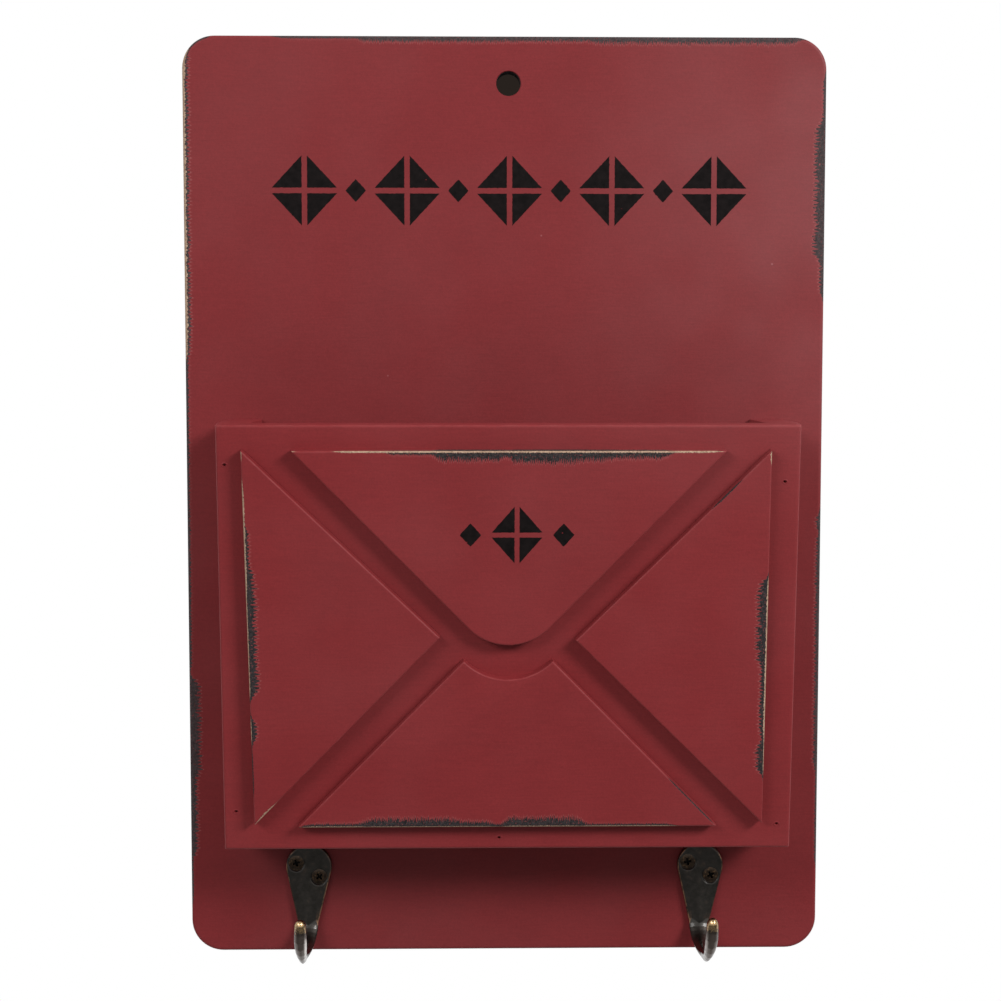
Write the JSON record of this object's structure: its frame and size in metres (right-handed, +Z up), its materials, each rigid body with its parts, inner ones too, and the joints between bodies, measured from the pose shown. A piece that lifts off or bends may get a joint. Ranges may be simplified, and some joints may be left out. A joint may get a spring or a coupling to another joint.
{
  "type": "wall mail organizer",
  "caption": "Upright painted back board that hangs on a wall, with an open-topped letter pocket faced as a closed envelope and cast key hooks below it.",
  "frame": {"origin": "centre of the back board's back face, which lies against the wall", "axes": "+Z up, +X to the right as someone faces the front, +Y into the wall; the front looks along -Y"},
  "size_m": [0.254, 0.0605, 0.3664],
  "materials": {
    "red_paint": "matte brick-red paint over a dark under-coat on fibreboard, rubbed through at the edges",
    "bronzed_casting": "dark antique bronze plating on a die casting, bright where it is worn",
    "screw_steel": "dark bronzed steel",
    "brad_wire": "plain galvanised wire"
  },
  "bodies": {
    "root": {"back_board": "red_paint", "pocket_side_left": "red_paint", "pocket_side_right": "red_paint", "pocket_floor": "red_paint", "front_panel": "red_paint", "flap_left": "red_paint", "flap_right": "red_paint", "flap_top": "red_paint", "flap_foot": "red_paint", "hook_left": "bronzed_casting", "hook_right": "bronzed_casting", "hook_screw_left_upper": "screw_steel", "hook_screw_left_lower": "screw_steel", "hook_screw_right_upper": "screw_steel", "hook_screw_right_lower": "screw_steel", "brad_upper_left": "brad_wire", "brad_upper_right": "brad_wire", "brad_lower_left": "brad_wire", "brad_lower_right": "brad_wire", "brad_floor": "brad_wire", "back_brad_left_upper": "brad_wire", "back_brad_left_lower": "brad_wire", "back_brad_floor_left": "brad_wire", "back_brad_right_upper": "brad_wire", "back_brad_right_lower": "brad_wire", "back_brad_floor_right": "brad_wire"}
  },
  "joints": []
}
